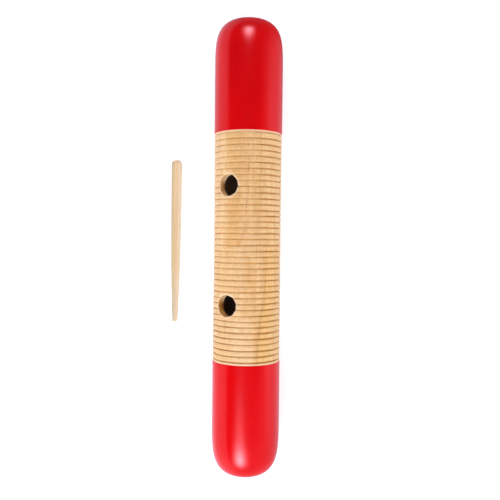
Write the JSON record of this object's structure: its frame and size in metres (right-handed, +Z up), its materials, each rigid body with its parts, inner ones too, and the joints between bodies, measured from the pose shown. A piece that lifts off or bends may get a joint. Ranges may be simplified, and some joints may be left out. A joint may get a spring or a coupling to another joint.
{
  "type": "guiro with scraper",
  "caption": "Hollow wooden tube guiro with a ring-grooved bare middle, finger holes and glossy red domed end caps, lying beside its loose tapered wooden scraper.",
  "frame": {"origin": "on the table top under the middle of the grooved tube, where the instrument rests", "axes": "+Y along the instrument towards its head dome, +Z up from the table, +X to the side away from the scraper"},
  "size_m": [0.0861, 0.3432, 0.0512],
  "materials": {
    "bare_wood": "sanded, clear satin",
    "red_lacquer": "gloss lacquer over turned wood",
    "stick_wood": "sanded, bare"
  },
  "bodies": {
    "guiro": {"body_tube": "bare_wood", "head_cap": "red_lacquer", "tail_cap": "red_lacquer"},
    "scraper": {"scraper": "stick_wood"}
  },
  "joints": [
    {"name": "scraper_stroke", "type": "slide", "parent": "guiro", "child": "scraper", "axis": [0, 1, 0], "range_m": [-0.083, 0.083]}
  ]
}
